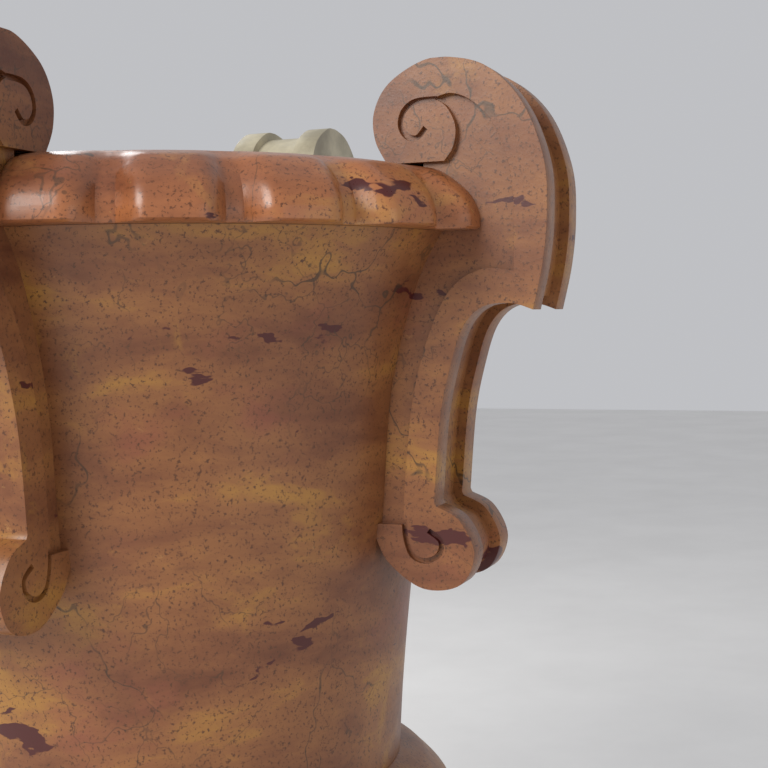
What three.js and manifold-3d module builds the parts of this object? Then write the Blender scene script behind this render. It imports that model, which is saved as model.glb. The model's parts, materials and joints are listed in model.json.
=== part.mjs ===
// A monumental marble urn: a deep bell body over a plain swelling bowl, a lobed rim and four scroll
// handles, standing on a turned foot and a square plinth. The stone blocks are stacked on spigots and
// drawn together by one tie rod, and each handle is held by two dowels.
// Millimetres, +Z up, origin at the middle of the plinth's underside, handles on +X, +Y, -X and -Y.

import * as THREE from "three";
import { mergeVertices } from "three/addons/utils/BufferGeometryUtils.js";
import Module from "manifold-3d";

const wasm = await Module();
wasm.setup();

// Clearances
const JOINT_GAP = 0.3;
const SPIGOT_CLEARANCE = 0.8;
const ROD_CLEARANCE = 4;
const CUT_MARGIN = 20;

// Heights of the stacked blocks
const PLINTH_HEIGHT = 90;
const FOOT_HEIGHT = 172;
const KNOP_HEIGHT = 38;
const LOWER_BOWL_HEIGHT = 165;
const BODY_HEIGHT = 609;
const RIM_HEIGHT = 72;
const SETTING_THICKNESS = 2.4;

// Radii of the turned blocks
const PLINTH_WIDTH = 540;
const FOOT_BASE_RADIUS = 236;
const FOOT_STEM_RADIUS = 104;
const KNOP_RADIUS = 142;
const BOWL_SEAT_RADIUS = 128;
const BOWL_MAX_RADIUS = 338;
const CREASE_RADIUS = 276;
const SHOULDER_RADIUS = 379;
const MOUTH_RADIUS = 300;
const RIM_EDGE_RADIUS = 421;
const RIM_CROWN_RADIUS = 340;

// Hollow of the bell body
const FLOOR_THICKNESS = 60;
const WELL_RADIUS = 222;
const WELL_CORNER = 46;

// Spigots under the blocks
const SPIGOT_RADIUS = 82;
const SPIGOT_DEPTH = 12;
const SOCKET_EXTRA_DEPTH = 3;

// Lobes of the rim
const LOBE_COUNT = 21;
const FIRST_GROOVE_DEGREES = -49;
const LOBE_GROOVE_DEPTH = 29;
const LOBE_FLAT_SHARE = 0.4;
const LOBE_SIDE_SHARE = 0.45;
const LOBE_STEPS = 6;

// Handles: one thick scroll slab with a channel round its edge and a sunk panel on each face
const HANDLE_COUNT = 4;
const HANDLE_THICKNESS = 128.4;
const HANDLE_SEAT_RADIUS = 355;
const CHANNEL_WIDTH = 64;
const CHANNEL_DEPTH = 11;
const PANEL_DEPTH = 8;
const VOLUTE_GROOVE_WIDTH = 5;
const VOLUTE_GROOVE_DEPTH = 5;
const EYE_RADIUS = 10;
const EYE_PROUD = 4;

// Dowels of the handles
const DOWEL_RADIUS = 8;
const DOWEL_IN_HANDLE = 45;
const DOWEL_IN_BLOCK = 34;
const UPPER_DOWEL_RISE = 36;
const LOWER_DOWEL_DROP = 312;

// Tie rod and its hardware
const ROD_RADIUS = 12;
const NUT_ACROSS_FLATS = 36;
const NUT_HEIGHT = 20;
const WASHER_RADIUS = 40;
const WASHER_THICKNESS = 5;
const ROD_PROJECTION = 6;
const RECESS_DEPTH = 42;
const RECESS_RADIUS = 52;

// Facets round a turn
const FINE_TURN = 48;
const COARSE_TURN = 36;
const SMALL_TURN = 12;

// Levels worked out from the stack
const BORE_RADIUS = ROD_RADIUS + ROD_CLEARANCE;
const SOCKET_RADIUS = SPIGOT_RADIUS + SPIGOT_CLEARANCE;
const SETTING_STEP = SETTING_THICKNESS + 2 * JOINT_GAP;
const FOOT_BOTTOM = PLINTH_HEIGHT + SETTING_STEP;
const FOOT_TOP = FOOT_BOTTOM + FOOT_HEIGHT;
const KNOP_BOTTOM = FOOT_TOP + JOINT_GAP;
const KNOP_TOP = KNOP_BOTTOM + KNOP_HEIGHT;
const BOWL_BOTTOM = KNOP_TOP + JOINT_GAP;
const BOWL_TOP = BOWL_BOTTOM + LOWER_BOWL_HEIGHT;
const BODY_BOTTOM = BOWL_TOP + JOINT_GAP;
const BODY_TOP = BODY_BOTTOM + BODY_HEIGHT;
const RIM_BOTTOM = BODY_TOP + JOINT_GAP;
const RIM_TOP = RIM_BOTTOM + RIM_HEIGHT;
const FLOOR_LEVEL = BODY_BOTTOM + FLOOR_THICKNESS;

const MARBLE = { color: 0x9a5f34, roughness: 0.35, metalness: 0 };
const RIM_MARBLE = { color: 0xb8703c, roughness: 0.25, metalness: 0 };
const PALE_MARBLE = { color: 0xb9af96, roughness: 0.45, metalness: 0 };
const LEAD = { color: 0x6b6d70, roughness: 0.6, metalness: 0.8 };
const BRASS = { color: 0xb08d4a, roughness: 0.4, metalness: 1 };
const STEEL = { color: 0x8c8f92, roughness: 0.4, metalness: 1 };

const urn = new THREE.Group();

function signedVolume(position, index) {
  const a = new THREE.Vector3();
  const b = new THREE.Vector3();
  const c = new THREE.Vector3();
  let sum = 0;
  for (let i = 0; i < index.length; i += 3) {
    a.fromBufferAttribute(position, index[i]);
    b.fromBufferAttribute(position, index[i + 1]);
    c.fromBufferAttribute(position, index[i + 2]);
    sum += a.dot(b.cross(c));
  }
  return sum / 6;
}

// Turns a closed geometry into a solid that can be joined and cut.
function toSolid(geometry) {
  const bare = geometry.clone();
  bare.deleteAttribute("normal");
  bare.deleteAttribute("uv");
  const merged = mergeVertices(bare, 1e-3);
  const kept = [];
  const source = merged.index.array;
  for (let i = 0; i < source.length; i += 3) {
    const [a, b, c] = [source[i], source[i + 1], source[i + 2]];
    if (a !== b && b !== c && c !== a) {
      kept.push(a, b, c);
    }
  }
  if (signedVolume(merged.attributes.position, kept) < 0) {
    kept.reverse();
  }
  const mesh = new wasm.Mesh({
    numProp: 3,
    vertProperties: new Float32Array(merged.attributes.position.array),
    triVerts: new Uint32Array(kept),
  });
  return new wasm.Manifold(mesh);
}

function toGeometry(solid) {
  const mesh = solid.getMesh();
  const geometry = new THREE.BufferGeometry();
  geometry.setAttribute("position", new THREE.BufferAttribute(new Float32Array(mesh.vertProperties), 3));
  geometry.setIndex(new THREE.BufferAttribute(new Uint32Array(mesh.triVerts), 1));
  geometry.computeVertexNormals();
  return geometry;
}

function addPiece(name, solid, finish) {
  const mesh = new THREE.Mesh(toGeometry(solid), new THREE.MeshStandardMaterial(finish));
  mesh.name = name;
  urn.add(mesh);
}

// A profile of [radius, height] pairs that closes on itself, turned about the Z axis.
function turned(profile, segments) {
  const points = profile.map(([radius, height]) => new THREE.Vector2(radius, height));
  points.push(points[0].clone());
  const geometry = new THREE.LatheGeometry(points, segments);
  geometry.rotateX(Math.PI / 2);
  return geometry;
}

function curvePairs(pairs, steps) {
  const curve = new THREE.SplineCurve(pairs.map(([x, y]) => new THREE.Vector2(x, y)));
  return curve.getPoints(steps).map((point) => [point.x, point.y]);
}

function raised(pairs, level) {
  return pairs.map(([radius, height]) => [radius, height + level]);
}

function arcPairs(radius, height, arcRadius, startDegrees, endDegrees, steps) {
  const pairs = [];
  for (let i = 0; i <= steps; i += 1) {
    const angle = THREE.MathUtils.degToRad(startDegrees + ((endDegrees - startDegrees) * i) / steps);
    pairs.push([radius + arcRadius * Math.cos(angle), height + arcRadius * Math.sin(angle)]);
  }
  return pairs;
}

function cylinderAlongZ(radius, bottom, top, segments) {
  const geometry = new THREE.CylinderGeometry(radius, radius, top - bottom, segments);
  geometry.rotateX(Math.PI / 2);
  geometry.translate(0, 0, (bottom + top) / 2);
  return toSolid(geometry);
}

function cylinderAlongX(radius, start, end, level, segments) {
  const geometry = new THREE.CylinderGeometry(radius, radius, end - start, segments);
  geometry.rotateZ(Math.PI / 2);
  geometry.translate((start + end) / 2, 0, level);
  return toSolid(geometry);
}

function box(start, end) {
  const size = end.map((value, axis) => value - start[axis]);
  const geometry = new THREE.BoxGeometry(size[0], size[1], size[2]);
  geometry.translate(start[0] + size[0] / 2, start[1] + size[1] / 2, start[2] + size[2] / 2);
  return toSolid(geometry);
}

// Square slab with a bore for the rod, a recess for the lower nut and a socket for the foot's spigot.
function makePlinth() {
  const half = PLINTH_WIDTH / 2;
  const slab = box([-half, -half, 0], [half, half, PLINTH_HEIGHT]);
  const bore = cylinderAlongZ(BORE_RADIUS, -CUT_MARGIN, PLINTH_HEIGHT + CUT_MARGIN, SMALL_TURN);
  const recess = cylinderAlongZ(RECESS_RADIUS, -CUT_MARGIN, RECESS_DEPTH, COARSE_TURN);
  const socketFloor = PLINTH_HEIGHT - SPIGOT_DEPTH - SOCKET_EXTRA_DEPTH;
  const socket = cylinderAlongZ(SOCKET_RADIUS, socketFloor, PLINTH_HEIGHT + CUT_MARGIN, COARSE_TURN);
  return slab.subtract(bore).subtract(recess).subtract(socket);
}

function makeSettingRing(bottom, outerRadius) {
  const inner = SOCKET_RADIUS + JOINT_GAP;
  const top = bottom + SETTING_THICKNESS;
  return toSolid(turned([[inner, bottom], [outerRadius, bottom], [outerRadius, top], [inner, top]], COARSE_TURN));
}

// The lower end of a block: a spigot that drops into the socket of the block below.
function spigotEnd(bottom, reach) {
  const tip = bottom - reach;
  return [[BORE_RADIUS, tip], [SPIGOT_RADIUS, tip], [SPIGOT_RADIUS, bottom]];
}

// The upper end of a block: a socket for the spigot of the block above.
function socketEnd(top) {
  const floor = top - SPIGOT_DEPTH - SOCKET_EXTRA_DEPTH;
  return [[SOCKET_RADIUS, top], [SOCKET_RADIUS, floor], [BORE_RADIUS, floor]];
}

// Torus, fillet, hollow scotia and a narrow stem.
function makeFoot() {
  const torus = 26;
  const fillet = 9;
  const neckFillet = 10;
  const outer = [
    ...arcPairs(FOOT_BASE_RADIUS - torus, FOOT_BOTTOM + torus, torus, -90, 90, 6),
    [FOOT_BASE_RADIUS - torus - fillet, FOOT_BOTTOM + 2 * torus],
    [FOOT_BASE_RADIUS - torus - fillet, FOOT_BOTTOM + 2 * torus + fillet],
    ...curvePairs([
      [FOOT_BASE_RADIUS - torus - 2 * fillet, FOOT_BOTTOM + 2 * torus + fillet],
      [(FOOT_BASE_RADIUS + FOOT_STEM_RADIUS) / 2 - torus, FOOT_BOTTOM + FOOT_HEIGHT * 0.5],
      [FOOT_STEM_RADIUS, FOOT_BOTTOM + FOOT_HEIGHT * 0.78],
      [FOOT_STEM_RADIUS + 4, FOOT_TOP - 1.5 * neckFillet],
    ], 6),
    [FOOT_STEM_RADIUS + neckFillet, FOOT_TOP - neckFillet],
    [FOOT_STEM_RADIUS + neckFillet, FOOT_TOP],
  ];
  const reach = SPIGOT_DEPTH + SETTING_STEP;
  return toSolid(turned([...spigotEnd(FOOT_BOTTOM, reach), ...outer, ...socketEnd(FOOT_TOP)], COARSE_TURN));
}

function makeKnop() {
  const half = KNOP_HEIGHT / 2;
  const outer = arcPairs(KNOP_RADIUS - half, KNOP_BOTTOM + half, half, -90, 90, 6);
  const profile = [...spigotEnd(KNOP_BOTTOM, SPIGOT_DEPTH), ...outer, ...socketEnd(KNOP_TOP)];
  return toSolid(turned(profile, COARSE_TURN));
}

// Plain swelling bowl between the knop and the crease.
function makeLowerBowl() {
  const outer = curvePairs([
    [BOWL_SEAT_RADIUS, BOWL_BOTTOM],
    [BOWL_MAX_RADIUS * 0.74, BOWL_BOTTOM + LOWER_BOWL_HEIGHT * 0.17],
    [BOWL_MAX_RADIUS, BOWL_BOTTOM + LOWER_BOWL_HEIGHT * 0.58],
    [BOWL_MAX_RADIUS - 26, BOWL_TOP - 20],
    [CREASE_RADIUS, BOWL_TOP],
  ], 9);
  const profile = [...spigotEnd(BOWL_BOTTOM, SPIGOT_DEPTH), ...outer, ...socketEnd(BOWL_TOP)];
  return toSolid(turned(profile, FINE_TURN));
}

// Outside of the bell, from the crease up to the shoulder under the rim.
function bodyOutside() {
  return raised(curvePairs([
    [CREASE_RADIUS, -BODY_HEIGHT],
    [282, -520],
    [293, -410],
    [307, -303],
    [316, -195],
    [327, -132],
    [342, -80],
    [357, -39],
    [SHOULDER_RADIUS, 0],
  ], 10), BODY_TOP);
}

function makeBody() {
  const wall = curvePairs([
    [MOUTH_RADIUS, BODY_TOP],
    [262, BODY_TOP - 130],
    [236, BODY_TOP - 300],
    [WELL_RADIUS, FLOOR_LEVEL + WELL_CORNER],
  ], 5);
  const corner = arcPairs(WELL_RADIUS - WELL_CORNER, FLOOR_LEVEL + WELL_CORNER, WELL_CORNER, 0, -90, 4);
  const profile = [
    ...spigotEnd(BODY_BOTTOM, SPIGOT_DEPTH),
    ...bodyOutside(),
    ...wall,
    ...corner.slice(1),
    [BORE_RADIUS, FLOOR_LEVEL],
  ];
  let body = toSolid(turned(profile, FINE_TURN));
  for (let i = 0; i < HANDLE_COUNT; i += 1) {
    body = body.subtract(dowelHole(LOWER_DOWEL).rotate([0, 0, quarterTurn(i)]));
  }
  return body;
}

// How far a lobe's section is drawn in at a given angle, from 0 on the crown to 1 in the groove.
function grooveShare(angle) {
  const start = THREE.MathUtils.degToRad(FIRST_GROOVE_DEGREES);
  const turn = ((angle - start) * LOBE_COUNT) / (2 * Math.PI);
  const across = Math.abs(2 * (turn - Math.floor(turn)) - 1);
  const side = (across - LOBE_FLAT_SHARE) / LOBE_SIDE_SHARE;
  return Math.pow(THREE.MathUtils.clamp(side, 0, 1), 2);
}

// Rounded outer edge of the rim, as [radius, height over its underside].
const RIM_ROLL = [[RIM_EDGE_RADIUS, 14], [417, 26], [409, 39], [396, 51], [384, 60], [371, 66]];

// Ring with a rounded outer edge, drawn in between the lobes, notched for the handles.
function makeRim() {
  const profile = [
    [MOUTH_RADIUS, RIM_BOTTOM],
    [RIM_EDGE_RADIUS, RIM_BOTTOM],
    ...raised(RIM_ROLL, RIM_BOTTOM),
    [RIM_CROWN_RADIUS, RIM_TOP],
    [MOUTH_RADIUS + 20, RIM_TOP],
    [MOUTH_RADIUS + 5, RIM_TOP - 8],
    [MOUTH_RADIUS, RIM_TOP - 24],
  ];
  const geometry = turned(profile, LOBE_COUNT * LOBE_STEPS);
  const place = geometry.attributes.position;
  for (let i = 0; i < place.count; i += 1) {
    const radius = Math.hypot(place.getX(i), place.getY(i));
    const share = Math.max(0, (radius - SHOULDER_RADIUS + 12) / (RIM_EDGE_RADIUS - SHOULDER_RADIUS + 12));
    const angle = Math.atan2(place.getY(i), place.getX(i));
    const drawn = share * LOBE_GROOVE_DEPTH * grooveShare(angle);
    const factor = (radius - drawn) / radius;
    place.setX(i, place.getX(i) * factor);
    place.setY(i, place.getY(i) * factor);
  }
  let rim = toSolid(geometry);
  const half = HANDLE_THICKNESS / 2 - PANEL_DEPTH + JOINT_GAP;
  const notchEnd = RIM_EDGE_RADIUS + CUT_MARGIN;
  const notch = box(
    [HANDLE_SEAT_RADIUS, -half, RIM_BOTTOM - CUT_MARGIN],
    [notchEnd, half, RIM_TOP + CUT_MARGIN],
  );
  for (let i = 0; i < HANDLE_COUNT; i += 1) {
    rim = rim.subtract(notch.rotate([0, 0, quarterTurn(i)]));
    rim = rim.subtract(dowelHole(UPPER_DOWEL).rotate([0, 0, quarterTurn(i)]));
  }
  return rim;
}

// Upper and lower dowel of a handle: where its joint face lies and at what level.
const UPPER_DOWEL = { face: HANDLE_SEAT_RADIUS, level: RIM_BOTTOM + UPPER_DOWEL_RISE };
const LOWER_DOWEL = { face: 306, level: BODY_TOP - LOWER_DOWEL_DROP };

function dowelHole(dowel) {
  const start = dowel.face - DOWEL_IN_BLOCK - JOINT_GAP;
  const end = dowel.face + DOWEL_IN_HANDLE + JOINT_GAP;
  return cylinderAlongX(DOWEL_RADIUS + JOINT_GAP, start, end, dowel.level, SMALL_TURN);
}

function makeDowel(dowel) {
  const start = dowel.face - DOWEL_IN_BLOCK;
  const end = dowel.face + DOWEL_IN_HANDLE;
  return cylinderAlongX(DOWEL_RADIUS, start, end, dowel.level, SMALL_TURN);
}

function quarterTurn(index) {
  return (index * 360) / HANDLE_COUNT;
}

// Edge of the scroll, as [radius, height over the rim's underside], from the top volute to the low one.
function scrollEdge() {
  const top = curvePairs([
    [317, RIM_HEIGHT + JOINT_GAP],
    [304, 98],
    [303, 128],
    [320, 157],
    [358, 178],
    [392, 179],
    [430, 166],
    [466, 128],
    [488, 70],
    [491, 15],
    [486, -36],
    [475, -85],
  ], 18);
  const under = curvePairs([
    [475, -85],
    [452, -78],
    [421, -81],
    [399, -102],
    [384, -145],
    [372, -201],
    [364, -289],
  ], 9);
  const foot = curvePairs([
    [366, -293],
    [392, -307],
    [408, -342],
    [392, -376],
    [350, -382],
    [312, -357],
    [297, -331],
  ], 11);
  return [...top, ...under.slice(1), ...foot];
}

// Region of each face that is sunk below the outer band.
function panelOutline() {
  const upper = curvePairs([[370, 138], [391, 142], [417, 129], [440, 98], [455, 43], [455, -45]], 10);
  const lower = curvePairs([[455, -45], [420, -42], [386, -62], [360, -112], [341, -182], [331, -270], [329, -314]], 10);
  const top = RIM_HEIGHT + JOINT_GAP;
  const inner = [[290, -314], [290, -100], [345, -20], [345, top], [381, top]];
  const wall = curvePairs([[381, top], [391, 86], [394, 108], [384, 129], [370, 138]], 6);
  return [...upper, ...lower.slice(1), ...inner, ...wall.slice(1, -1)];
}

// Spiral lines of the upper and lower volutes, each curling in from the sunk panel round its eye.
function voluteLines() {
  const upper = [[374, 137], [350, 136], [337, 127], [333, 113], [339, 101], [351, 98], [361, 108]];
  const lower = [[330, -308], [331, -327], [338, -346], [353, -352], [368, -345], [371, -330], [357, -319]];
  return [curvePairs(upper, 12), curvePairs(lower, 12)];
}

function offsetPairs(pairs, distance) {
  return pairs.map(([x, y], i) => {
    const before = pairs[Math.max(0, i - 1)];
    const after = pairs[Math.min(pairs.length - 1, i + 1)];
    const dx = after[0] - before[0];
    const dy = after[1] - before[1];
    const length = Math.hypot(dx, dy);
    return [x - (distance * dy) / length, y + (distance * dx) / length];
  });
}

// Extrudes an outline in the plane of radius and height from one side of the slab to another.
function slab(pairs, near, far) {
  const shape = new THREE.Shape(pairs.map(([x, y]) => new THREE.Vector2(x, y)));
  const geometry = new THREE.ExtrudeGeometry(shape, { depth: far - near, bevelEnabled: false });
  geometry.translate(0, 0, near);
  geometry.rotateX(Math.PI / 2);
  geometry.translate(0, 0, RIM_BOTTOM);
  return toSolid(geometry);
}

function eyeDisc(radius, height) {
  const reach = HANDLE_THICKNESS / 2 + EYE_PROUD;
  const geometry = new THREE.CylinderGeometry(EYE_RADIUS, EYE_RADIUS, 2 * reach, SMALL_TURN);
  geometry.translate(radius, 0, RIM_BOTTOM + height);
  return toSolid(geometry);
}

function makeHandle() {
  const half = HANDLE_THICKNESS / 2;
  const edge = scrollEdge();
  const inner = [[280, -331], [280, -100], [HANDLE_SEAT_RADIUS + JOINT_GAP, -14]];
  inner.push([HANDLE_SEAT_RADIUS + JOINT_GAP, RIM_HEIGHT + JOINT_GAP]);
  let handle = slab([...edge, ...inner], -half, half);
  const channelEdge = offsetPairs(edge, -CHANNEL_DEPTH);
  const channel = [...offsetPairs(edge, CUT_MARGIN / 4), ...channelEdge.reverse()];
  handle = handle.subtract(slab(channel, -CHANNEL_WIDTH / 2, CHANNEL_WIDTH / 2));
  const panel = panelOutline();
  handle = handle.subtract(slab(panel, half - PANEL_DEPTH, half + CUT_MARGIN));
  handle = handle.subtract(slab(panel, -half - CUT_MARGIN, -half + PANEL_DEPTH));
  for (const line of voluteLines()) {
    const near = offsetPairs(line, VOLUTE_GROOVE_WIDTH / 2);
    const groove = [...near, ...offsetPairs(line, -VOLUTE_GROOVE_WIDTH / 2).reverse()];
    handle = handle.subtract(slab(groove, half - VOLUTE_GROOVE_DEPTH, half + CUT_MARGIN));
    handle = handle.subtract(slab(groove, -half - CUT_MARGIN, -half + VOLUTE_GROOVE_DEPTH));
  }
  handle = handle.add(eyeDisc(348, 117));
  handle = handle.add(eyeDisc(352, -335));
  const bodyProfile = [
    [BORE_RADIUS, BODY_BOTTOM],
    ...bodyOutside().map(([radius, level]) => [radius + JOINT_GAP, level]),
    [SHOULDER_RADIUS + JOINT_GAP, RIM_BOTTOM],
    [BORE_RADIUS, RIM_BOTTOM],
  ];
  handle = handle.subtract(toSolid(turned(bodyProfile, FINE_TURN)));
  handle = handle.subtract(dowelHole(UPPER_DOWEL));
  return handle.subtract(dowelHole(LOWER_DOWEL));
}

function hexNut(bottom) {
  const acrossCorners = NUT_ACROSS_FLATS / Math.cos(Math.PI / 6);
  const body = cylinderAlongZ(acrossCorners / 2, bottom, bottom + NUT_HEIGHT, 6);
  return body.subtract(cylinderAlongZ(ROD_RADIUS + JOINT_GAP, bottom - 1, bottom + NUT_HEIGHT + 1, SMALL_TURN));
}

function makeWasher(bottom) {
  const disc = cylinderAlongZ(WASHER_RADIUS, bottom, bottom + WASHER_THICKNESS, COARSE_TURN);
  const hole = cylinderAlongZ(ROD_RADIUS + JOINT_GAP, bottom - 1, bottom + WASHER_THICKNESS + 1, SMALL_TURN);
  return disc.subtract(hole);
}

const LOWER_WASHER_BOTTOM = RECESS_DEPTH - JOINT_GAP - WASHER_THICKNESS;
const LOWER_NUT_BOTTOM = LOWER_WASHER_BOTTOM - JOINT_GAP - NUT_HEIGHT;
const UPPER_WASHER_BOTTOM = FLOOR_LEVEL + JOINT_GAP;
const UPPER_NUT_BOTTOM = UPPER_WASHER_BOTTOM + WASHER_THICKNESS + JOINT_GAP;

addPiece("plinth", makePlinth(), MARBLE);
addPiece("foot_setting_ring", makeSettingRing(PLINTH_HEIGHT + JOINT_GAP, FOOT_BASE_RADIUS - 30), LEAD);
addPiece("foot", makeFoot(), MARBLE);
addPiece("knop", makeKnop(), MARBLE);
addPiece("lower_bowl", makeLowerBowl(), MARBLE);
addPiece("bell_body", makeBody(), MARBLE);
addPiece("lobed_rim", makeRim(), RIM_MARBLE);

const rodBottom = LOWER_NUT_BOTTOM - ROD_PROJECTION;
const rodTop = UPPER_NUT_BOTTOM + NUT_HEIGHT + ROD_PROJECTION;
addPiece("tie_rod", cylinderAlongZ(ROD_RADIUS, rodBottom, rodTop, SMALL_TURN), STEEL);
addPiece("lower_washer", makeWasher(LOWER_WASHER_BOTTOM), STEEL);
addPiece("lower_nut", hexNut(LOWER_NUT_BOTTOM), STEEL);
addPiece("upper_washer", makeWasher(UPPER_WASHER_BOTTOM), STEEL);
addPiece("upper_nut", hexNut(UPPER_NUT_BOTTOM), STEEL);

const handle = makeHandle();
const upperDowel = makeDowel(UPPER_DOWEL);
const lowerDowel = makeDowel(LOWER_DOWEL);
["right", "back", "left", "front"].forEach((side, i) => {
  const turn = [0, 0, quarterTurn(i)];
  const finish = side === "back" ? PALE_MARBLE : MARBLE;
  addPiece(`${side}_handle`, handle.rotate(turn), finish);
  addPiece(`${side}_handle_upper_dowel`, upperDowel.rotate(turn), BRASS);
  addPiece(`${side}_handle_lower_dowel`, lowerDowel.rotate(turn), BRASS);
});

export default urn;
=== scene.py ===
import json
import math

import bmesh
import bpy
from mathutils import Matrix, Vector


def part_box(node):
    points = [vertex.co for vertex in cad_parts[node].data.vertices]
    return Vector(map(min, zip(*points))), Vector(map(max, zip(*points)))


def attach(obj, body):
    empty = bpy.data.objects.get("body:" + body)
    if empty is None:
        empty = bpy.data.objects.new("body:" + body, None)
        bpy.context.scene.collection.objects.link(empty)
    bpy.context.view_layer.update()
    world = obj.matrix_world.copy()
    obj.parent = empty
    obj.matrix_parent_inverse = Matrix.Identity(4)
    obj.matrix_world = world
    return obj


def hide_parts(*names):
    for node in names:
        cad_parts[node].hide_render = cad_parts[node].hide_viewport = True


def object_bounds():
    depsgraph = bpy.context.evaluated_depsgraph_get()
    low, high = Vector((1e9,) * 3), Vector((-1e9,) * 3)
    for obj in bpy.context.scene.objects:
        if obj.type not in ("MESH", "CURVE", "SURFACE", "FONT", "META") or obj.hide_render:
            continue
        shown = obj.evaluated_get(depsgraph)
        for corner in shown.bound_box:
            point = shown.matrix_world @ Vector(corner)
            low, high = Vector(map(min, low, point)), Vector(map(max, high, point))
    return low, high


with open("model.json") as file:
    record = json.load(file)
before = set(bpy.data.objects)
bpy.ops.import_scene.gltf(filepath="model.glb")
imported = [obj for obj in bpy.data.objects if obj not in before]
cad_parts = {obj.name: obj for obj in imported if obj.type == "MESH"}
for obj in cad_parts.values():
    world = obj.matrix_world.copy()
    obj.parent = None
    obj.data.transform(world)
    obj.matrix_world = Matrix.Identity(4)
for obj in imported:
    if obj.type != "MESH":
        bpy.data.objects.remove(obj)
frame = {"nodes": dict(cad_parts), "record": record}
CAD_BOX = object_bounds()
MM = 0.001

# Gap in each joint between blocks, in millimetres
JOINT_GAP = 0.3

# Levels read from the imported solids, in millimetres
RIM_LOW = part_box("lobed_rim")[0].z / MM
RIM_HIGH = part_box("lobed_rim")[1].z / MM
BODY_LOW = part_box("lower_bowl")[1].z / MM + JOINT_GAP
BODY_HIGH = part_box("bell_body")[1].z / MM
BOWL_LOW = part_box("knop")[1].z / MM + JOINT_GAP
KNOP_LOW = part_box("foot")[1].z / MM + JOINT_GAP
FOOT_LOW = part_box("foot_setting_ring")[1].z / MM + JOINT_GAP
PLINTH_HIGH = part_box("plinth")[1].z / MM
PLINTH_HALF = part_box("plinth")[1].x / MM
RIM_HEIGHT = RIM_HIGH - RIM_LOW
BODY_HEIGHT = BODY_HIGH - BODY_LOW

# Sizes that the solids also have, in millimetres
MOUTH_RADIUS = 300
SHOULDER_RADIUS = 379
CREASE_RADIUS = 276
BOWL_RADIUS = 338
BOWL_SEAT_RADIUS = 128
KNOP_RADIUS = 142
FOOT_RADIUS = 236
FOOT_NECK_RADIUS = 104
FOOT_TORUS = 26
FOOT_FILLET = 9
FOOT_NECK = 10
FLOOR_THICKNESS = 60
FLOOR_CORNER = 46
FLOOR_RADIUS = 222
RECESS_RADIUS = 52
RECESS_DEPTH = 42
LIP_ROUND = 22
RIM_ARRIS = 2.5
RIM_EDGE_RADIUS = 421
RIM_CROWN_RADIUS = 340
LOBE_COUNT = 21
FIRST_GROOVE_DEGREES = -49
GROOVE_DEPTH = 29
GROOVE_DROP = 9
LOBE_FLAT_SHARE = 0.4
LOBE_SIDE_SHARE = 0.45
LOBE_START = 363
ARRIS_SHARE = 0.1
ARRIS_STEEPNESS = 6
DROP_START = 338
DROP_LEVEL = 20
DROP_REACH = 40
HANDLE_THICKNESS = 128.4
HANDLE_SEAT = 355.3
CHANNEL_WIDTH = 64
CHANNEL_DEPTH = 11
CHANNEL_OVERLAP = 5
PANEL_DEPTH = 8
VOLUTE_GROOVE_WIDTH = 6
VOLUTE_GROOVE_DEPTH = 6
EYE_RADIUS = 10
EYE_SUNK = 1
EYE_ROOT = 8
EYES = [(346, 113), (352, -331)]
BORE_RADIUS = 16
CUT_MARGIN = 20
AXIS_RADIUS = 0.01
SIDE_FLATNESS = 0.999
OFFSET_KEPT_SHARE = 0.96

# Softened edges, in millimetres
PLINTH_EDGE = 2.5
HANDLE_EDGE = 2.6
EYE_EDGE = 1.5

# Fineness of the meshes
TURN_STEPS = 192
LOBE_STEPS = 20
EYE_STEPS = 24


# Shared curves and solids

def spline(points, steps):
    """Points on a smooth curve through the given ones."""
    last = len(points) - 1
    curve = []
    for i in range(steps + 1):
        place = last * i / steps
        k = min(int(place), last)
        share = place - k
        before = points[max(k - 1, 0)]
        start = points[k]
        end = points[min(k + 1, last)]
        after = points[min(k + 2, last)]
        curve.append(tuple(blend_cubic(share, before[a], start[a], end[a], after[a]) for a in (0, 1)))
    return curve


def blend_cubic(t, before, start, end, after):
    """One coordinate between start and end, with the slopes given by the points on either side."""
    slope_in = (end - before) / 2
    slope_out = (after - start) / 2
    cubic = (2 * start - 2 * end + slope_in + slope_out) * t ** 3
    square = (-3 * start + 3 * end - 2 * slope_in - slope_out) * t ** 2
    return cubic + square + slope_in * t + start


def clamped(value):
    return min(max(value, 0), 1)


def arc(radius, height, arc_radius, start, end, steps):
    points = []
    for i in range(steps + 1):
        angle = math.radians(start + (end - start) * i / steps)
        points.append((radius + arc_radius * math.cos(angle), height + arc_radius * math.sin(angle)))
    return points


def new_object(name, bm, sharp=32):
    bmesh.ops.recalc_face_normals(bm, faces=bm.faces)
    mesh = bpy.data.meshes.new(name)
    bm.to_mesh(mesh)
    bm.free()
    obj = bpy.data.objects.new(name, mesh)
    bpy.context.scene.collection.objects.link(obj)
    soften(obj, sharp)
    return obj


def soften(obj, sharp=32):
    mesh = obj.data
    mesh.polygons.foreach_set("use_smooth", [True] * len(mesh.polygons))
    mesh.set_sharp_from_angle(angle=math.radians(sharp))


def turned(name, profile, steps=TURN_STEPS, shape=None):
    """A closed profile of (radius, height) in millimetres, turned about Z."""
    bm = bmesh.new()
    rings = []
    for i in range(steps):
        angle = 2 * math.pi * i / steps
        ring = []
        for radius, height in profile:
            r, z = shape(radius, height, angle) if shape else (radius, height)
            ring.append(bm.verts.new((r * MM * math.cos(angle), r * MM * math.sin(angle), z * MM)))
        rings.append(ring)
    for i in range(steps):
        here, there = rings[i], rings[(i + 1) % steps]
        for j in range(len(profile)):
            k = (j + 1) % len(profile)
            bm.faces.new((here[j], there[j], there[k], here[k]))
    return new_object(name, bm)


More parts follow.
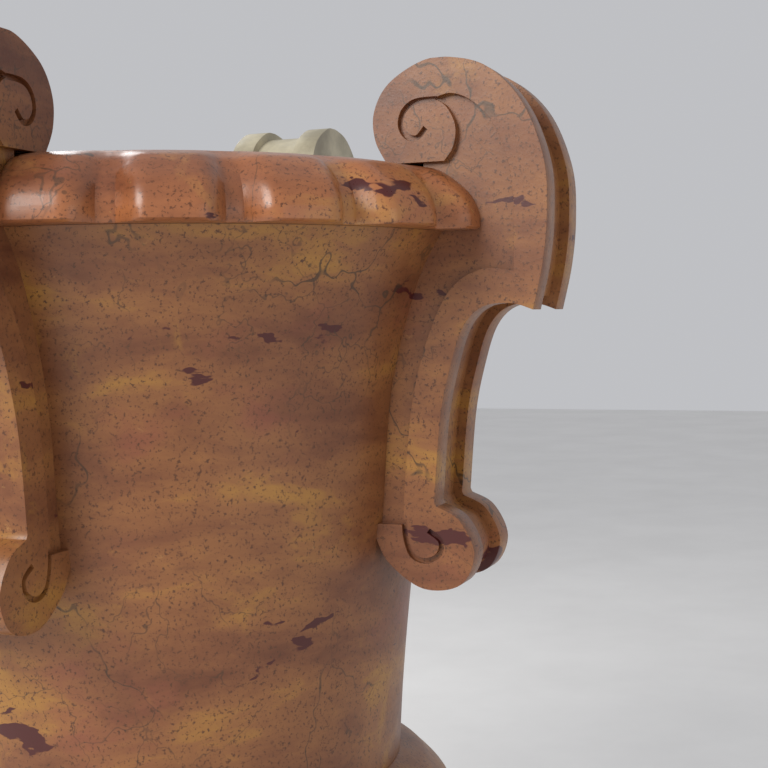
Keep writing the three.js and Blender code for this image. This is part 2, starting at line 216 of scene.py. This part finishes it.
def prism(name, outline, near, far, turn=0.0):
    """An outline of (radius, height over the rim's underside) drawn through the slab from near to far."""
    bm = bmesh.new()
    low = [bm.verts.new((r * MM, near * MM, (RIM_LOW + z) * MM)) for r, z in outline]
    high = [bm.verts.new((r * MM, far * MM, (RIM_LOW + z) * MM)) for r, z in outline]
    bm.faces.new(low)
    bm.faces.new(reversed(high))
    for i in range(len(outline)):
        k = (i + 1) % len(outline)
        bm.faces.new((low[i], low[k], high[k], high[i]))
    bm.transform(Matrix.Rotation(turn, 4, "Z"))
    return new_object(name, bm)


def apply_modifiers(obj):
    """Puts the mesh as its modifiers leave it in the place of the object's own."""
    bpy.context.view_layer.update()
    graph = bpy.context.evaluated_depsgraph_get()
    mesh = bpy.data.meshes.new_from_object(obj.evaluated_get(graph))
    old = obj.data
    obj.modifiers.clear()
    obj.data = mesh
    bpy.data.meshes.remove(old)


def cut(obj, cutter, operation="DIFFERENCE"):
    modifier = obj.modifiers.new("cut", "BOOLEAN")
    modifier.operation = operation
    modifier.object = cutter
    modifier.solver = "EXACT"
    apply_modifiers(obj)
    bpy.data.objects.remove(cutter)


def bevel(obj, width, segments=2, angle=38):
    modifier = obj.modifiers.new("bevel", "BEVEL")
    modifier.width = width * MM
    modifier.segments = segments
    modifier.limit_method = "ANGLE"
    modifier.angle_limit = math.radians(angle)
    modifier.harden_normals = False
    apply_modifiers(obj)
    soften(obj)


# Turned blocks

def body_outside():
    rise = [
        (CREASE_RADIUS, -BODY_HEIGHT), (282, -520), (293, -410), (307, -303), (316, -195),
        (327, -132), (342, -80), (357, -39), (SHOULDER_RADIUS, 0),
    ]
    return [(r, BODY_HIGH + z) for r, z in spline(rise, 48)]


def make_body():
    floor = BODY_LOW + FLOOR_THICKNESS
    turn_in = floor + FLOOR_CORNER
    wall = spline([
        (MOUTH_RADIUS, BODY_HIGH), (262, BODY_HIGH - 130), (236, BODY_HIGH - 300), (FLOOR_RADIUS, turn_in),
    ], 24)
    corner = arc(FLOOR_RADIUS - FLOOR_CORNER, turn_in, FLOOR_CORNER, 0, -90, 10)
    profile = [(BORE_RADIUS, BODY_LOW)] + body_outside() + wall + corner[1:] + [(BORE_RADIUS, floor)]
    return turned("bell_body_stone", profile)


def make_bowl():
    top = BODY_LOW - JOINT_GAP
    height = top - BOWL_LOW
    swell = [
        (BOWL_SEAT_RADIUS, BOWL_LOW), (BOWL_RADIUS * 0.74, BOWL_LOW + height * 0.17),
        (BOWL_RADIUS, BOWL_LOW + height * 0.58), (312, top - 20), (CREASE_RADIUS, top),
    ]
    profile = [(BORE_RADIUS, BOWL_LOW)] + spline(swell, 40) + [(BORE_RADIUS, top)]
    return turned("lower_bowl_stone", profile)


def make_knop():
    half = (BOWL_LOW - JOINT_GAP - KNOP_LOW) / 2
    profile = [(BORE_RADIUS, KNOP_LOW)] + arc(KNOP_RADIUS - half, KNOP_LOW + half, half, -90, 90, 20)
    return turned("knop_stone", profile + [(BORE_RADIUS, KNOP_LOW + 2 * half)])


def make_foot():
    top = KNOP_LOW - JOINT_GAP
    height = top - FOOT_LOW
    torus_high = FOOT_LOW + 2 * FOOT_TORUS
    torus_in = FOOT_RADIUS - FOOT_TORUS
    fillet_in = torus_in - FOOT_FILLET
    neck_out = FOOT_NECK_RADIUS + FOOT_NECK
    sweep = [
        (fillet_in - FOOT_FILLET, torus_high + FOOT_FILLET),
        (170 - FOOT_TORUS, FOOT_LOW + height * 0.5),
        (FOOT_NECK_RADIUS, FOOT_LOW + height * 0.78),
        (FOOT_NECK_RADIUS + 4, top - 1.5 * FOOT_NECK),
    ]
    profile = [(BORE_RADIUS, FOOT_LOW)]
    profile += arc(torus_in, FOOT_LOW + FOOT_TORUS, FOOT_TORUS, -90, 90, 20)
    profile += [(fillet_in, torus_high), (fillet_in, torus_high + FOOT_FILLET)]
    profile += spline(sweep, 30)
    profile += [(neck_out, top - FOOT_NECK), (neck_out, top), (BORE_RADIUS, top)]
    return turned("foot_stone", profile)


def make_plinth():
    bm = bmesh.new()
    bmesh.ops.create_cube(bm, size=1)
    size = (2 * PLINTH_HALF * MM, 2 * PLINTH_HALF * MM, PLINTH_HIGH * MM)
    bm.transform(Matrix.Translation((0, 0, PLINTH_HIGH * MM / 2)) @ Matrix.Diagonal((*size, 1)))
    plinth = new_object("plinth_stone", bm)
    outline = [
        (AXIS_RADIUS, -CUT_MARGIN), (RECESS_RADIUS, -CUT_MARGIN),
        (RECESS_RADIUS, RECESS_DEPTH), (AXIS_RADIUS, RECESS_DEPTH),
    ]
    cut(plinth, turned("recess", outline, 64))
    bevel(plinth, PLINTH_EDGE, 3)
    return plinth


# Lobed rim

def lobe_place(radius, height, angle):
    """Draws the edge in and down between the lobes, with a small arris left standing in each groove."""
    turn = (angle - math.radians(FIRST_GROOVE_DEGREES)) * LOBE_COUNT / (2 * math.pi)
    across = abs(2 * (turn - math.floor(turn)) - 1)
    share = max(0.0, (radius - LOBE_START) / (RIM_EDGE_RADIUS - LOBE_START))
    side = (across - LOBE_FLAT_SHARE) / LOBE_SIDE_SHARE
    groove = clamped(side) ** 2 - ARRIS_SHARE * clamped((side - 1) * ARRIS_STEEPNESS)
    drop = clamped((radius - DROP_START) / DROP_REACH)
    drop *= clamped((height - RIM_LOW - DROP_LEVEL) / DROP_REACH)
    return radius - share * GROOVE_DEPTH * groove, height - GROOVE_DROP * drop * groove


def make_rim():
    edge = [
        (RIM_EDGE_RADIUS, 14), (417, 26), (409, 39), (396, 51), (384, 60), (371, 66),
        (RIM_CROWN_RADIUS, RIM_HEIGHT),
    ]
    curve = spline(edge, 30)
    lip = MOUTH_RADIUS + LIP_ROUND
    inside = [(lip, RIM_HEIGHT)] + arc(lip, RIM_HEIGHT - LIP_ROUND, LIP_ROUND, 100, 180, 8)
    under = [(MOUTH_RADIUS, 0), (SHOULDER_RADIUS, 0), (400, 0), (418, 0), (RIM_EDGE_RADIUS, RIM_ARRIS)]
    profile = [(r, RIM_LOW + z) for r, z in under + curve + inside]
    rim = turned("lobed_rim_stone", profile, LOBE_COUNT * LOBE_STEPS, lobe_place)
    half = HANDLE_THICKNESS / 2 - PANEL_DEPTH + JOINT_GAP
    near = HANDLE_SEAT - JOINT_GAP
    far = RIM_EDGE_RADIUS + CUT_MARGIN
    high = RIM_HEIGHT + CUT_MARGIN
    outline = [(near, -CUT_MARGIN), (far, -CUT_MARGIN), (far, high), (near, high)]
    for quarter in range(4):
        cut(rim, prism("notch", outline, -half, half, quarter * math.pi / 2))
    soften(rim, 40)
    return rim


# Scroll handles

def scroll_edge():
    high = CAD_BOX[1].z / MM - RIM_LOW
    wide = CAD_BOX[1].x / MM
    top = spline([
        (317, RIM_HEIGHT + JOINT_GAP), (304, 98), (303, 128), (320, 157), (358, 178), (392, 179), (430, 166),
        (466, 128), (488, 70), (491, 15), (486, -36), (475, -85),
    ], 88)
    under = spline([
        (475, -85), (452, -78), (421, -81), (399, -102), (384, -145), (372, -201), (364, -289),
    ], 42)
    foot = spline([
        (366, -293), (392, -307), (408, -342), (392, -376), (350, -382), (312, -357), (297, -331),
    ], 48)
    return [(min(r, wide), min(z, high)) for r, z in top + under[1:] + foot]


def panel_outline():
    top = RIM_HEIGHT + JOINT_GAP
    upper = spline([(370, 138), (391, 142), (417, 129), (440, 98), (455, 43), (455, -45)], 40)
    lower = spline([
        (455, -45), (420, -42), (386, -62), (360, -112), (341, -182), (331, -270), (329, -314),
    ], 44)
    inner = [(290, -314), (290, -100), (345, -20), (345, top), (381, top)]
    wall = spline([(381, top), (391, 86), (394, 108), (384, 129), (370, 138)], 22)
    return upper + lower[1:] + inner + wall[1:-1]


def volute_lines():
    upper = [(374, 137), (350, 136), (337, 127), (333, 113), (339, 101), (351, 98), (361, 108)]
    lower = [(330, -308), (331, -327), (338, -346), (353, -352), (368, -345), (371, -330), (357, -319)]
    return [spline(upper, 40), spline(lower, 44)]


def offset(points, distance):
    """A line moved sideways. In a tight curl, points that would come too near the line are left out."""
    moved = []
    for i, (x, y) in enumerate(points):
        before = points[max(i - 1, 0)]
        after = points[min(i + 1, len(points) - 1)]
        dx, dy = after[0] - before[0], after[1] - before[1]
        length = math.hypot(dx, dy)
        moved.append((x - distance * dy / length, y + distance * dx / length))
    return [point for point in moved if line_distance(point, points) > OFFSET_KEPT_SHARE * abs(distance)]


def line_distance(point, line):
    """Distance from a point to the nearest stretch of a line of points."""
    best = math.inf
    for (ax, ay), (bx, by) in zip(line, line[1:]):
        dx, dy = bx - ax, by - ay
        share = ((point[0] - ax) * dx + (point[1] - ay) * dy) / (dx * dx + dy * dy)
        share = clamped(share)
        best = min(best, math.hypot(point[0] - ax - share * dx, point[1] - ay - share * dy))
    return best


def make_handle(name):
    half = HANDLE_THICKNESS / 2
    edge = scroll_edge()
    inner = [(285, -331), (285, -100), (HANDLE_SEAT, -14), (HANDLE_SEAT, RIM_HEIGHT + JOINT_GAP)]
    handle = prism(name, edge + inner, -half, half)
    channel = offset(edge, CHANNEL_OVERLAP) + offset(edge, -CHANNEL_DEPTH)[::-1]
    cut(handle, prism("channel", channel, -CHANNEL_WIDTH / 2, CHANNEL_WIDTH / 2))
    sides = [(half, 1), (-half, -1)]
    for face, side in sides:
        ends = sorted((face - side * PANEL_DEPTH, face + side * CUT_MARGIN))
        cut(handle, prism("panel", panel_outline(), *ends))
        ends = sorted((face - side * VOLUTE_GROOVE_DEPTH, face + side * CUT_MARGIN))
        for line in volute_lines():
            near = offset(line, VOLUTE_GROOVE_WIDTH / 2)
            groove = near + offset(line, -VOLUTE_GROOVE_WIDTH / 2)[::-1]
            cut(handle, prism("groove", groove, *ends))
    bevel(handle, HANDLE_EDGE)
    for center in EYES:
        ring = arc(*center, EYE_RADIUS, 0, 360 - 360 / EYE_STEPS, EYE_STEPS - 1)
        for face, side in sides:
            ends = sorted((face - side * EYE_ROOT, face - side * EYE_SUNK))
            eye = prism("eye", ring, *ends)
            bevel(eye, EYE_EDGE)
            cut(handle, eye, "UNION")
    flatten(handle)
    return handle


def flatten(obj):
    """Keeps the sawn side faces flat beside their rounded edges."""
    for face in obj.data.polygons:
        if abs(face.normal.y) > SIDE_FLATNESS:
            face.use_smooth = False


# Materials

def linear(red, green, blue):
    def channel(value):
        v = value / 255
        return v / 12.92 if v <= 0.04045 else ((v + 0.055) / 1.055) ** 2.4
    return (channel(red), channel(green), channel(blue), 1)


PALE_FLECK = linear(205, 160, 95)
RED_INCLUSION = linear(74, 24, 20)
WIDE_CRACK = linear(58, 44, 30)
FINE_CRACK = linear(66, 46, 30)
SPECK_SHARE = 0.5
POLISH_RANGE = 0.22


class Nodes:
    """Short calls for building one material's node tree."""

    def __init__(self, name):
        self.material = bpy.data.materials.new(name)
        self.material.use_nodes = True
        self.tree = self.material.node_tree
        self.shader = self.tree.nodes["Principled BSDF"]
        self.place = self.tree.nodes.new("ShaderNodeTexCoord").outputs["Object"]

    def link(self, source, target):
        self.tree.links.new(source, target)

    def mapped(self, scale, rotation=(0, 0, 0), move=(0, 0, 0)):
        node = self.tree.nodes.new("ShaderNodeMapping")
        node.inputs["Scale"].default_value = scale
        node.inputs["Rotation"].default_value = rotation
        node.inputs["Location"].default_value = move
        self.link(self.place, node.inputs["Vector"])
        return node.outputs["Vector"]

    def warped(self, vector, scale, amount):
        noise = self.noise(vector, scale, 4, output="Color")
        scaled = self.tree.nodes.new("ShaderNodeVectorMath")
        scaled.operation = "MULTIPLY_ADD"
        self.link(noise, scaled.inputs[0])
        scaled.inputs[1].default_value = (amount, amount, amount)
        self.link(vector, scaled.inputs[2])
        return scaled.outputs["Vector"]

    def noise(self, vector, scale, detail=6, rough=0.6, distortion=0.0, output="Fac"):
        node = self.tree.nodes.new("ShaderNodeTexNoise")
        node.inputs["Scale"].default_value = scale
        node.inputs["Detail"].default_value = detail
        node.inputs["Roughness"].default_value = rough
        node.inputs["Distortion"].default_value = distortion
        self.link(vector, node.inputs["Vector"])
        return node.outputs[output]

    def cracks(self, vector, scale):
        node = self.tree.nodes.new("ShaderNodeTexVoronoi")
        node.feature = "DISTANCE_TO_EDGE"
        node.inputs["Scale"].default_value = scale
        self.link(vector, node.inputs["Vector"])
        return node.outputs["Distance"]

    def ramp(self, value, stops):
        node = self.tree.nodes.new("ShaderNodeValToRGB")
        band = node.color_ramp
        while len(band.elements) > 1:
            band.elements.remove(band.elements[-1])
        band.elements[0].position = stops[0][0]
        band.elements[0].color = stops[0][1]
        for position, color in stops[1:]:
            band.elements.new(position).color = color
        self.link(value, node.inputs["Fac"])
        return node.outputs["Color"]

    def mask(self, value, low, high):
        node = self.tree.nodes.new("ShaderNodeMapRange")
        node.interpolation_type = "SMOOTHSTEP"
        node.inputs["From Min"].default_value = low
        node.inputs["From Max"].default_value = high
        self.link(value, node.inputs["Value"])
        return node.outputs["Result"]

    def times(self, first, second):
        node = self.tree.nodes.new("ShaderNodeMath")
        node.operation = "MULTIPLY"
        self.link(first, node.inputs[0])
        if isinstance(second, (int, float)):
            node.inputs[1].default_value = second
        else:
            self.link(second, node.inputs[1])
        return node.outputs["Value"]

    def mix(self, share, first, second, kind="MIX"):
        node = self.tree.nodes.new("ShaderNodeMix")
        node.data_type = "RGBA"
        node.blend_type = kind
        self.link(share, node.inputs["Factor"])
        for socket, value in ((node.inputs["A"], first), (node.inputs["B"], second)):
            pick = [s for s in node.inputs if s.name == socket.name and s.type == "RGBA"][0]
            if isinstance(value, tuple):
                pick.default_value = value
            else:
                self.link(value, pick)
        return [s for s in node.outputs if s.type == "RGBA"][0]

    def finish(self, color, rough, height, strength, distance):
        self.link(color, self.shader.inputs["Base Color"])
        self.link(rough, self.shader.inputs["Roughness"])
        bump = self.tree.nodes.new("ShaderNodeBump")
        bump.inputs["Strength"].default_value = strength
        bump.inputs["Distance"].default_value = distance
        self.link(height, bump.inputs["Height"])
        self.link(bump.outputs["Normal"], self.shader.inputs["Normal"])
        return self.material


def marble(name, tones, shift, polish, red_share=0.5):
    """Brecciated brown marble: cloudy bands, ochre patches, dark red inclusions and fine dark cracks."""
    n = Nodes(name)
    dark, middle, warm, ochre, rose = tones
    space = n.mapped((1, 1, 1), (0.25, 0.1, 0.4), shift)
    warped = n.warped(space, 3.2, 0.22)
    clouds = n.noise(n.warped(n.mapped((1, 1, 2.6), (0.12, 0.06, 0), shift), 2.4, 0.3), 4.2, 8, 0.62)
    # Cloudy bands, ochre patches and a rose blush
    color = n.ramp(clouds, [(0.30, dark), (0.44, middle), (0.56, warm), (0.66, ochre), (0.78, rose)])
    patches = n.mask(n.noise(warped, 7.5, 6, 0.65), 0.56, 0.70)
    color = n.mix(n.times(patches, 0.75), color, ochre)
    blush = n.mask(n.noise(n.mapped((1, 1, 1.6), (0, 0.3, 0), (7, 3, 1)), 5.0, 5, 0.6), 0.54, 0.72)
    color = n.mix(n.times(blush, 0.6), color, rose)
    # Fine dark grain, pale flecks and red inclusions
    grain = n.noise(space, 260, 3, 0.7)
    speck = (*(SPECK_SHARE * c for c in middle[:3]), 1)
    color = n.mix(n.mask(grain, 0.54, 0.66), color, speck)
    pale = n.mask(n.noise(warped, 26, 5, 0.7), 0.66, 0.76)
    color = n.mix(n.times(pale, 0.45), color, PALE_FLECK)
    lumps = n.noise(n.warped(n.mapped((1, 1, 2.2), (0.3, 0.2, 0), (1.3, 4.1, 0.7)), 9, 0.08), 8.5, 4, 0.55)
    lumps_start = 0.67 - 0.02 * red_share
    color = n.mix(n.mask(lumps, lumps_start, lumps_start + 0.015), color, RED_INCLUSION)
    # Wide and fine cracks, each in a part of the stone only
    wide = n.cracks(n.warped(n.mapped((1, 1, 0.8), (0.4, 0.2, 0.1), shift), 5, 0.3), 4.2)
    fine = n.cracks(n.warped(n.mapped((1, 1, 1), (0.9, 0.3, 0.5), (3, 5, 2)), 9, 0.16), 11)
    seen = n.mask(n.noise(space, 4.5, 4), 0.45, 0.58)
    wide_mask = n.times(n.mask(wide, 0.007, 0.002), seen)
    elsewhere = n.mask(n.noise(n.mapped((1, 1, 1), (0, 0, 0), (9, 2, 4)), 6, 4), 0.52, 0.62)
    fine_mask = n.times(n.mask(fine, 0.012, 0.004), elsewhere)
    color = n.mix(n.times(wide_mask, 0.75), color, WIDE_CRACK)
    color = n.mix(n.times(fine_mask, 0.6), color, FINE_CRACK)
    rough = n.tree.nodes.new("ShaderNodeMapRange")
    rough.inputs["To Min"].default_value = polish
    rough.inputs["To Max"].default_value = polish + POLISH_RANGE
    n.link(n.noise(space, 60, 5, 0.7), rough.inputs["Value"])
    return n.finish(color, rough.outputs["Result"], grain, 0.25, 0.0006)


def plain(name, first, second, rough_low, rough_high, metal=0.0, scale=40):
    n = Nodes(name)
    cloud = n.noise(n.place, scale, 6, 0.65)
    color = n.ramp(cloud, [(0.35, first), (0.65, second)])
    grain = n.noise(n.place, scale * 8, 3, 0.6)
    rough = n.tree.nodes.new("ShaderNodeMapRange")
    rough.inputs["To Min"].default_value = rough_low
    rough.inputs["To Max"].default_value = rough_high
    n.link(grain, rough.inputs["Value"])
    n.shader.inputs["Metallic"].default_value = metal
    return n.finish(color, rough.outputs["Result"], grain, 0.2, 0.0004)


# Tones of the stone: dark, middle, warm, ochre and rose
BODY_TONES = [
    linear(92, 48, 28), linear(122, 74, 44), linear(142, 92, 52), linear(164, 116, 52), linear(134, 72, 54),
]
RIM_TONES = [
    linear(104, 56, 36), linear(136, 82, 52), linear(158, 98, 60), linear(170, 118, 66), linear(150, 84, 62),
]

MATERIALS = {
    "body_marble": marble("body_marble", BODY_TONES, (0, 0, 0), 0.30),
    "handle_marble": marble("handle_marble", BODY_TONES, (2.1, 0.4, 1.2), 0.28, 0.8),
    "rim_marble": marble("rim_marble", RIM_TONES, (4.2, 1.4, 0.2), 0.2, 0.3),
    "pale_marble": plain("pale_marble", linear(150, 142, 120), linear(196, 187, 160), 0.35, 0.6, scale=14),
    "lead": plain("lead", linear(88, 90, 94), linear(120, 122, 126), 0.5, 0.75, 0.9),
    "brass": plain("brass", linear(150, 118, 62), linear(178, 142, 80), 0.3, 0.5, 1.0),
    "steel": plain("steel", linear(140, 142, 144), linear(168, 170, 172), 0.3, 0.5, 1.0),
}


def dress(obj, slot):
    obj.data.materials.clear()
    obj.data.materials.append(MATERIALS[slot])


def stand_for(obj, node, slot):
    dress(obj, slot)
    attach(obj, "root")
    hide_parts(node)


# Camera, from the fitted view: lens, place and aim in the part's own frame
LENS = 62.9
CAMERA_DISTANCE = 1636.9
CAMERA_TURN = 30.773
CAMERA_DROP = 88.31
YAW = 9.2859
PITCH = -2.9274
ROLL = -1.0105


def make_camera():
    yaw, pitch, roll = math.radians(YAW), math.radians(PITCH), math.radians(ROLL)
    ahead = Vector((math.sin(yaw) * math.cos(pitch), math.cos(yaw) * math.cos(pitch), math.sin(pitch)))
    right = Vector((math.cos(yaw), -math.sin(yaw), 0))
    up = right.cross(ahead)
    tilted_right = math.cos(roll) * right + math.sin(roll) * up
    tilted_up = math.cos(roll) * up - math.sin(roll) * right
    aim = Matrix((tilted_right, tilted_up, -ahead)).transposed().to_4x4()
    place = Matrix.Translation((0, -CAMERA_DISTANCE * MM, (RIM_LOW - CAMERA_DROP) * MM))
    data = bpy.data.cameras.new("camera")
    data.lens = LENS
    data.sensor_width = 36
    data.clip_start = 0.05
    camera = bpy.data.objects.new("camera", data)
    camera.matrix_world = Matrix.Rotation(math.radians(CAMERA_TURN), 4, "Z") @ place @ aim
    bpy.context.scene.collection.objects.link(camera)
    bpy.context.scene.camera = camera


# Stage and lights, in metres and watts
FLOOR_SIZE = 12
FLOOR_GAP = 0.0005
SKY_COLOR = (0.95, 0.96, 1.0, 1)
SKY_STRENGTH = 0.55
LIGHT_TARGET = (0, 0, 0.95)
KEY_COLOR = (1, 0.97, 0.92)
KEY_POWER = 90
FILL_POWER = 8
BACK_POWER = 30


def area_light(name, seen_place, size, power, color=(1, 1, 1)):
    """A soft box. Its place is given with the camera looking along +Y, then turned with the camera."""
    turn = Matrix.Rotation(math.radians(CAMERA_TURN), 3, "Z")
    place = turn @ Vector(seen_place)
    data = bpy.data.lights.new(name, "AREA")
    data.shape = "RECTANGLE"
    data.size, data.size_y = size
    data.energy = power
    data.color = color
    light = bpy.data.objects.new(name, data)
    light.location = place
    light.rotation_euler = (Vector(LIGHT_TARGET) - place).to_track_quat("-Z", "Y").to_euler()
    bpy.context.scene.collection.objects.link(light)


def make_stage():
    bm = bmesh.new()
    bmesh.ops.create_grid(bm, x_segments=1, y_segments=1, size=FLOOR_SIZE)
    floor = new_object("floor", bm)
    floor.location.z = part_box("plinth")[0].z - FLOOR_GAP
    paper = plain("floor_paper", linear(232, 231, 229), linear(238, 237, 235), 0.8, 0.9, scale=2)
    floor.data.materials.append(paper)
    world = bpy.data.worlds.new("studio")
    world.use_nodes = True
    sky = world.node_tree.nodes["Background"]
    sky.inputs["Color"].default_value = SKY_COLOR
    sky.inputs["Strength"].default_value = SKY_STRENGTH
    bpy.context.scene.world = world
    area_light("key", (-2.2, -2.0, 2.6), (1.4, 1.8), KEY_POWER, KEY_COLOR)
    area_light("fill", (1.8, -2.6, 1.2), (2.0, 2.0), FILL_POWER)
    area_light("back", (-1.0, 2.6, 2.4), (1.5, 1.5), BACK_POWER)


stand_for(make_body(), "bell_body", "body_marble")
stand_for(make_bowl(), "lower_bowl", "body_marble")
stand_for(make_knop(), "knop", "body_marble")
stand_for(make_foot(), "foot", "body_marble")
stand_for(make_plinth(), "plinth", "body_marble")
stand_for(make_rim(), "lobed_rim", "rim_marble")

pattern = make_handle("right_handle_stone")
for quarter, side in enumerate(("right", "back", "left", "front")):
    handle = pattern
    if quarter:
        handle = bpy.data.objects.new(f"{side}_handle_stone", pattern.data.copy())
        handle.data.transform(Matrix.Rotation(quarter * math.pi / 2, 4, "Z"))
        bpy.context.scene.collection.objects.link(handle)
    stand_for(handle, f"{side}_handle", "pale_marble" if side == "back" else "handle_marble")

replaced = {"bell_body", "lower_bowl", "knop", "foot", "plinth", "lobed_rim"}
slots = {part["node"]: part["material_slot"] for part in frame["record"]["subparts"]}
for node, obj in frame["nodes"].items():
    if node in replaced or node.endswith("_handle"):
        continue
    dress(obj, slots[node])

make_camera()
make_stage()
bpy.context.scene.view_settings.view_transform = "Standard"
